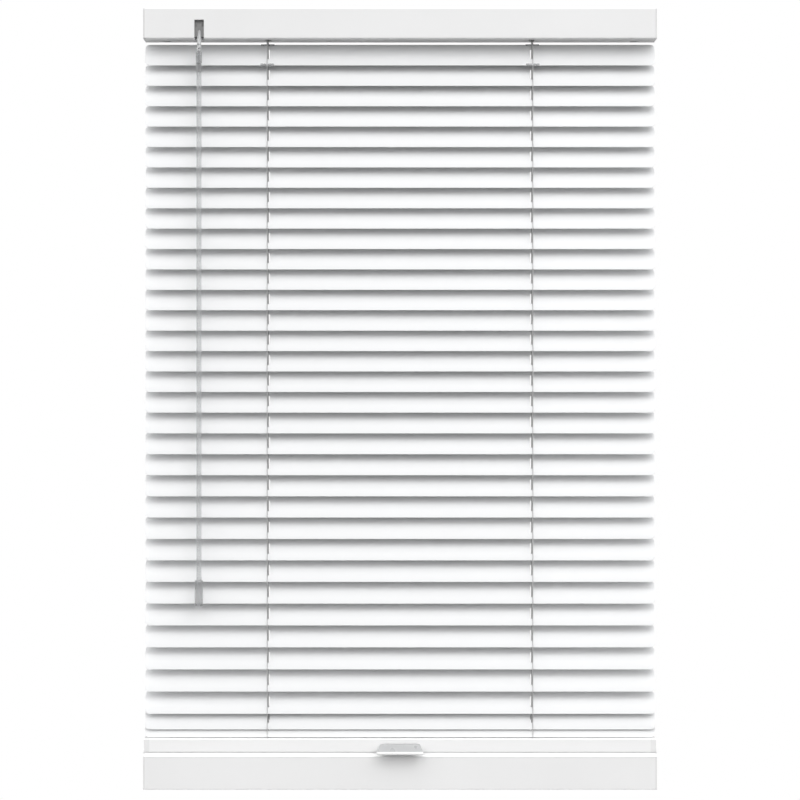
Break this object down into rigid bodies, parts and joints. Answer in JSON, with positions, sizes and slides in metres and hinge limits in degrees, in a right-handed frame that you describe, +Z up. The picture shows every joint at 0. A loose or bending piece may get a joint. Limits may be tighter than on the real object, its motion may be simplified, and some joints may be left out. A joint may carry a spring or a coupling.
{
  "type": "venetian blind",
  "caption": "Venetian blind with metal slats between a head cassette and a sill cassette, a tilt wand, ladder strings, tension cords and a hand-raised bottom rail.",
  "frame": {"origin": "centre of the head cassette's top face, where it meets the lintel", "axes": "+X along the slats, to the right as seen from the room; -Y towards the room; +Z up"},
  "size_m": [0.514, 0.044, 0.7824],
  "materials": {
    "head_paint": "satin",
    "sill_paint": "satin",
    "slat_paint": "satin",
    "white_plastic": "matte",
    "grey_plastic": "matte",
    "clear_plastic": "gloss",
    "smoke_plastic": "gloss",
    "steel": "satin",
    "cord": "matte"
  },
  "bodies": {
    "frame": {"head_rail": "head_paint", "cassette_end_caps": "white_plastic", "tilter_housing": "grey_plastic", "ladder_cradles": "white_plastic", "tension_cords": "cord", "cord_tensioners": "white_plastic", "bottom_cassette": "sill_paint"},
    "tilt_shaft": {"tilt_rod": "steel", "tilter_gear": "white_plastic", "ladder_drums": "white_plastic"},
    "worm": {"tilter_worm": "clear_plastic"},
    "hook": {"wand_hook": "clear_plastic"},
    "wand": {"wand_collar": "smoke_plastic", "wand_rod": "clear_plastic", "wand_grip": "smoke_plastic"},
    "rail": {"bottom_rail": "sill_paint", "rail_end_caps": "white_plastic", "lift_handle": "clear_plastic"},
    "front_strings": {"ladder_front": "cord"},
    "rear_strings": {"ladder_rear": "cord"},
    "slat_01_body": {"slat_01": "slat_paint", "ladder_clips": "clear_plastic"},
    "slat_02_body": {"slat_02": "slat_paint"},
    "slat_03_body": {"slat_03": "slat_paint"},
    "slat_04_body": {"slat_04": "slat_paint"},
    "slat_05_body": {"slat_05": "slat_paint"},
    "slat_06_body": {"slat_06": "slat_paint"},
    "slat_07_body": {"slat_07": "slat_paint"},
    "slat_08_body": {"slat_08": "slat_paint"},
    "slat_09_body": {"slat_09": "slat_paint"},
    "slat_10_body": {"slat_10": "slat_paint"},
    "slat_11_body": {"slat_11": "slat_paint"},
    "slat_12_body": {"slat_12": "slat_paint"},
    "slat_13_body": {"slat_13": "slat_paint"},
    "slat_14_body": {"slat_14": "slat_paint"},
    "slat_15_body": {"slat_15": "slat_paint"},
    "slat_16_body": {"slat_16": "slat_paint"},
    "slat_17_body": {"slat_17": "slat_paint"},
    "slat_18_body": {"slat_18": "slat_paint"},
    "slat_19_body": {"slat_19": "slat_paint"},
    "slat_20_body": {"slat_20": "slat_paint"},
    "slat_21_body": {"slat_21": "slat_paint"},
    "slat_22_body": {"slat_22": "slat_paint"},
    "slat_23_body": {"slat_23": "slat_paint"},
    "slat_24_body": {"slat_24": "slat_paint"},
    "slat_25_body": {"slat_25": "slat_paint"},
    "slat_26_body": {"slat_26": "slat_paint"},
    "slat_27_body": {"slat_27": "slat_paint"},
    "slat_28_body": {"slat_28": "slat_paint"},
    "slat_29_body": {"slat_29": "slat_paint"},
    "slat_30_body": {"slat_30": "slat_paint"},
    "slat_31_body": {"slat_31": "slat_paint"},
    "slat_32_body": {"slat_32": "slat_paint"},
    "slat_33_body": {"slat_33": "slat_paint"},
    "slat_34_body": {"slat_34": "slat_paint"},
    "ladder_section_29_body": {"ladder_section_29": "cord"},
    "ladder_section_30_body": {"ladder_section_30": "cord"},
    "ladder_section_31_body": {"ladder_section_31": "cord"},
    "ladder_section_32_body": {"ladder_section_32": "cord"},
    "ladder_section_33_body": {"ladder_section_33": "cord"}
  },
  "joints": [
    {"name": "tilt_rod_turn", "type": "hinge", "parent": "frame", "child": "tilt_shaft", "pos_m": [0, 0, -0.012], "axis": [1, 0, 0], "range_deg": [-200, 6.25]},
    {"name": "worm_turn", "type": "hinge", "parent": "frame", "child": "worm", "pos_m": [-0.201, -0.00813, -0.00951], "axis": [0, 0.2924, 0.9563], "range_deg": [-76, 2401]},
    {"name": "wand_swing", "type": "hinge", "parent": "frame", "child": "hook", "pos_m": [-0.201, -0.018, -0.0418], "axis": [1, 0, 0], "range_deg": [-70, 0], "deforming": ["wand_hook"]},
    {"name": "wand_turn", "type": "hinge", "parent": "hook", "child": "wand", "pos_m": [-0.201, -0.018, -0.0557], "axis": [0, 0, 1], "range_deg": [-76, 2401]},
    {"name": "rail_lift", "type": "slide", "parent": "frame", "child": "rail", "axis": [0, 0, 1], "range_m": [0, 0.07618]},
    {"name": "ladder_section_29_lift", "type": "slide", "parent": "frame", "child": "ladder_section_29_body", "axis": [0, 0, 1], "range_m": [-0.0005, 0.01652], "deforming": ["ladder_section_29"]},
    {"name": "ladder_section_30_lift", "type": "slide", "parent": "frame", "child": "ladder_section_30_body", "axis": [0, 0, 1], "range_m": [-0.0005, 0.03266], "deforming": ["ladder_section_30"]},
    {"name": "ladder_section_31_lift", "type": "slide", "parent": "frame", "child": "ladder_section_31_body", "axis": [0, 0, 1], "range_m": [-0.0005, 0.0489], "deforming": ["ladder_section_31"]},
    {"name": "ladder_section_32_lift", "type": "slide", "parent": "frame", "child": "ladder_section_32_body", "axis": [0, 0, 1], "range_m": [-0.0005, 0.06528], "deforming": ["ladder_section_32"]},
    {"name": "ladder_section_33_lift", "type": "slide", "parent": "frame", "child": "ladder_section_33_body", "axis": [0, 0, 1], "range_m": [-0.0005, 0.07488], "deforming": ["ladder_section_33"]},
    {"name": "slat_01_tilt", "type": "hinge", "parent": "frame", "child": "slat_01_body", "pos_m": [0, 0, -0.0455], "axis": [1, 0, 0], "range_deg": [-128.5, 4.5]},
    {"name": "slat_02_tilt", "type": "hinge", "parent": "frame", "child": "slat_02_body", "pos_m": [0, 0, -0.06599], "axis": [1, 0, 0], "range_deg": [-128.5, 4.5]},
    {"name": "slat_03_tilt", "type": "hinge", "parent": "frame", "child": "slat_03_body", "pos_m": [0, 0, -0.08647], "axis": [1, 0, 0], "range_deg": [-128.5, 4.5]},
    {"name": "slat_04_tilt", "type": "hinge", "parent": "frame", "child": "slat_04_body", "pos_m": [0, 0, -0.10695], "axis": [1, 0, 0], "range_deg": [-128.5, 4.5]},
    {"name": "slat_05_tilt", "type": "hinge", "parent": "frame", "child": "slat_05_body", "pos_m": [0, 0, -0.12744], "axis": [1, 0, 0], "range_deg": [-128.5, 4.5]},
    {"name": "slat_06_tilt", "type": "hinge", "parent": "frame", "child": "slat_06_body", "pos_m": [0, 0, -0.14793], "axis": [1, 0, 0], "range_deg": [-128.5, 4.5]},
    {"name": "slat_07_tilt", "type": "hinge", "parent": "frame", "child": "slat_07_body", "pos_m": [0, 0, -0.16841], "axis": [1, 0, 0], "range_deg": [-128.5, 4.5]},
    {"name": "slat_08_tilt", "type": "hinge", "parent": "frame", "child": "slat_08_body", "pos_m": [0, 0, -0.1889], "axis": [1, 0, 0], "range_deg": [-128.5, 4.5]},
    {"name": "slat_09_tilt", "type": "hinge", "parent": "frame", "child": "slat_09_body", "pos_m": [0, 0, -0.20938], "axis": [1, 0, 0], "range_deg": [-128.5, 4.5]},
    {"name": "slat_10_tilt", "type": "hinge", "parent": "frame", "child": "slat_10_body", "pos_m": [0, 0, -0.22987], "axis": [1, 0, 0], "range_deg": [-128.5, 4.5]},
    {"name": "slat_11_tilt", "type": "hinge", "parent": "frame", "child": "slat_11_body", "pos_m": [0, 0, -0.25035], "axis": [1, 0, 0], "range_deg": [-128.5, 4.5]},
    {"name": "slat_12_tilt", "type": "hinge", "parent": "frame", "child": "slat_12_body", "pos_m": [0, 0, -0.27083], "axis": [1, 0, 0], "range_deg": [-128.5, 4.5]},
    {"name": "slat_13_tilt", "type": "hinge", "parent": "frame", "child": "slat_13_body", "pos_m": [0, 0, -0.29132], "axis": [1, 0, 0], "range_deg": [-128.5, 4.5]},
    {"name": "slat_14_tilt", "type": "hinge", "parent": "frame", "child": "slat_14_body", "pos_m": [0, 0, -0.3118], "axis": [1, 0, 0], "range_deg": [-128.5, 4.5]},
    {"name": "slat_15_tilt", "type": "hinge", "parent": "frame", "child": "slat_15_body", "pos_m": [0, 0, -0.33229], "axis": [1, 0, 0], "range_deg": [-128.5, 4.5]},
    {"name": "slat_16_tilt", "type": "hinge", "parent": "frame", "child": "slat_16_body", "pos_m": [0, 0, -0.35278], "axis": [1, 0, 0], "range_deg": [-128.5, 4.5]},
    {"name": "slat_17_tilt", "type": "hinge", "parent": "frame", "child": "slat_17_body", "pos_m": [0, 0, -0.37338], "axis": [1, 0, 0], "range_deg": [-128.5, 4.5]},
    {"name": "slat_18_tilt", "type": "hinge", "parent": "frame", "child": "slat_18_body", "pos_m": [0, 0, -0.3941], "axis": [1, 0, 0], "range_deg": [-128.5, 4.5]},
    {"name": "slat_19_tilt", "type": "hinge", "parent": "frame", "child": "slat_19_body", "pos_m": [0, 0, -0.41494], "axis": [1, 0, 0], "range_deg": [-128.5, 4.5]},
    {"name": "slat_20_tilt", "type": "hinge", "parent": "frame", "child": "slat_20_body", "pos_m": [0, 0, -0.43589], "axis": [1, 0, 0], "range_deg": [-128.5, 4.5]},
    {"name": "slat_21_tilt", "type": "hinge", "parent": "frame", "child": "slat_21_body", "pos_m": [0, 0, -0.45697], "axis": [1, 0, 0], "range_deg": [-128.5, 4.5]},
    {"name": "slat_22_tilt", "type": "hinge", "parent": "frame", "child": "slat_22_body", "pos_m": [0, 0, -0.47816], "axis": [1, 0, 0], "range_deg": [-128.5, 4.5]},
    {"name": "slat_23_tilt", "type": "hinge", "parent": "frame", "child": "slat_23_body", "pos_m": [0, 0, -0.49947], "axis": [1, 0, 0], "range_deg": [-128.5, 4.5]},
    {"name": "slat_24_tilt", "type": "hinge", "parent": "frame", "child": "slat_24_body", "pos_m": [0, 0, -0.5209], "axis": [1, 0, 0], "range_deg": [-128.5, 4.5]},
    {"name": "slat_25_tilt", "type": "hinge", "parent": "frame", "child": "slat_25_body", "pos_m": [0, 0, -0.54245], "axis": [1, 0, 0], "range_deg": [-128.5, 4.5]},
    {"name": "slat_26_tilt", "type": "hinge", "parent": "frame", "child": "slat_26_body", "pos_m": [0, 0, -0.56412], "axis": [1, 0, 0], "range_deg": [-128.5, 4.5]},
    {"name": "slat_27_tilt", "type": "hinge", "parent": "frame", "child": "slat_27_body", "pos_m": [0, 0, -0.5859], "axis": [1, 0, 0], "range_deg": [-128.5, 4.5]},
    {"name": "slat_28_tilt", "type": "hinge", "parent": "frame", "child": "slat_28_body", "pos_m": [0, 0, -0.6078], "axis": [1, 0, 0], "range_deg": [-128.5, 4.5]},
    {"name": "slat_29_tilt", "type": "hinge", "parent": "ladder_section_29_body", "child": "slat_29_body", "pos_m": [0, 0, -0.62982], "axis": [1, 0, 0], "range_deg": [-128.5, 4.5]},
    {"name": "slat_30_tilt", "type": "hinge", "parent": "ladder_section_30_body", "child": "slat_30_body", "pos_m": [0, 0, -0.65195], "axis": [1, 0, 0], "range_deg": [-128.5, 4.5]},
    {"name": "slat_31_tilt", "type": "hinge", "parent": "ladder_section_31_body", "child": "slat_31_body", "pos_m": [0, 0, -0.67421], "axis": [1, 0, 0], "range_deg": [-128.5, 4.5]},
    {"name": "slat_32_tilt", "type": "hinge", "parent": "ladder_section_32_body", "child": "slat_32_body", "pos_m": [0, 0, -0.69658], "axis": [1, 0, 0], "range_deg": [-128.5, 4.5]},
    {"name": "slat_33_tilt", "type": "hinge", "parent": "ladder_section_33_body", "child": "slat_33_body", "pos_m": [0, 0, -0.71218], "axis": [1, 0, 0], "range_deg": [-128.5, 4.5]},
    {"name": "slat_34_tilt", "type": "hinge", "parent": "rail", "child": "slat_34_body", "pos_m": [0, 0, -0.71998], "axis": [1, 0, 0], "range_deg": [-128.5, 4.5]},
    {"name": "front_strings_hang", "type": "hinge", "parent": "slat_01_body", "child": "front_strings", "pos_m": [0, -0.0068, -0.05829], "axis": [1, 0, 0], "range_deg": [-4.5, 128.5], "deforming": ["ladder_front"]},
    {"name": "rear_strings_hang", "type": "hinge", "parent": "slat_01_body", "child": "rear_strings", "pos_m": [0, 0.0068, -0.03271], "axis": [1, 0, 0], "range_deg": [-4.5, 128.5], "deforming": ["ladder_rear"]}
  ],
  "couplings": [
    {"joint": "worm_turn", "follows": "tilt_rod_turn", "ratio": -12},
    {"joint": "wand_turn", "follows": "tilt_rod_turn", "ratio": -12},
    {"joint": "ladder_section_29_lift", "follows": "rail_lift", "ratio": 0.2103},
    {"joint": "ladder_section_30_lift", "follows": "rail_lift", "ratio": 0.4221},
    {"joint": "ladder_section_31_lift", "follows": "rail_lift", "ratio": 0.6354},
    {"joint": "ladder_section_32_lift", "follows": "rail_lift", "ratio": 0.8504},
    {"joint": "ladder_section_33_lift", "follows": "rail_lift", "ratio": 0.9764},
    {"joint": "slat_01_tilt", "follows": "tilt_rod_turn", "ratio": 0.64},
    {"joint": "slat_02_tilt", "follows": "tilt_rod_turn", "ratio": 0.64},
    {"joint": "slat_03_tilt", "follows": "tilt_rod_turn", "ratio": 0.64},
    {"joint": "slat_04_tilt", "follows": "tilt_rod_turn", "ratio": 0.64},
    {"joint": "slat_05_tilt", "follows": "tilt_rod_turn", "ratio": 0.64},
    {"joint": "slat_06_tilt", "follows": "tilt_rod_turn", "ratio": 0.64},
    {"joint": "slat_07_tilt", "follows": "tilt_rod_turn", "ratio": 0.64},
    {"joint": "slat_08_tilt", "follows": "tilt_rod_turn", "ratio": 0.64},
    {"joint": "slat_09_tilt", "follows": "tilt_rod_turn", "ratio": 0.64},
    {"joint": "slat_10_tilt", "follows": "tilt_rod_turn", "ratio": 0.64},
    {"joint": "slat_11_tilt", "follows": "tilt_rod_turn", "ratio": 0.64},
    {"joint": "slat_12_tilt", "follows": "tilt_rod_turn", "ratio": 0.64},
    {"joint": "slat_13_tilt", "follows": "tilt_rod_turn", "ratio": 0.64},
    {"joint": "slat_14_tilt", "follows": "tilt_rod_turn", "ratio": 0.64},
    {"joint": "slat_15_tilt", "follows": "tilt_rod_turn", "ratio": 0.64},
    {"joint": "slat_16_tilt", "follows": "tilt_rod_turn", "ratio": 0.64},
    {"joint": "slat_17_tilt", "follows": "tilt_rod_turn", "ratio": 0.64},
    {"joint": "slat_18_tilt", "follows": "tilt_rod_turn", "ratio": 0.64},
    {"joint": "slat_19_tilt", "follows": "tilt_rod_turn", "ratio": 0.64},
    {"joint": "slat_20_tilt", "follows": "tilt_rod_turn", "ratio": 0.64},
    {"joint": "slat_21_tilt", "follows": "tilt_rod_turn", "ratio": 0.64},
    {"joint": "slat_22_tilt", "follows": "tilt_rod_turn", "ratio": 0.64},
    {"joint": "slat_23_tilt", "follows": "tilt_rod_turn", "ratio": 0.64},
    {"joint": "slat_24_tilt", "follows": "tilt_rod_turn", "ratio": 0.64},
    {"joint": "slat_25_tilt", "follows": "tilt_rod_turn", "ratio": 0.64},
    {"joint": "slat_26_tilt", "follows": "tilt_rod_turn", "ratio": 0.64},
    {"joint": "slat_27_tilt", "follows": "tilt_rod_turn", "ratio": 0.64},
    {"joint": "slat_28_tilt", "follows": "tilt_rod_turn", "ratio": 0.64},
    {"joint": "slat_29_tilt", "follows": "tilt_rod_turn", "ratio": 0.64},
    {"joint": "slat_30_tilt", "follows": "tilt_rod_turn", "ratio": 0.64},
    {"joint": "slat_31_tilt", "follows": "tilt_rod_turn", "ratio": 0.64},
    {"joint": "slat_32_tilt", "follows": "tilt_rod_turn", "ratio": 0.64},
    {"joint": "slat_33_tilt", "follows": "tilt_rod_turn", "ratio": 0.64},
    {"joint": "slat_34_tilt", "follows": "tilt_rod_turn", "ratio": 0.64},
    {"joint": "front_strings_hang", "follows": "tilt_rod_turn", "ratio": -0.64},
    {"joint": "rear_strings_hang", "follows": "tilt_rod_turn", "ratio": -0.64}
  ]
}
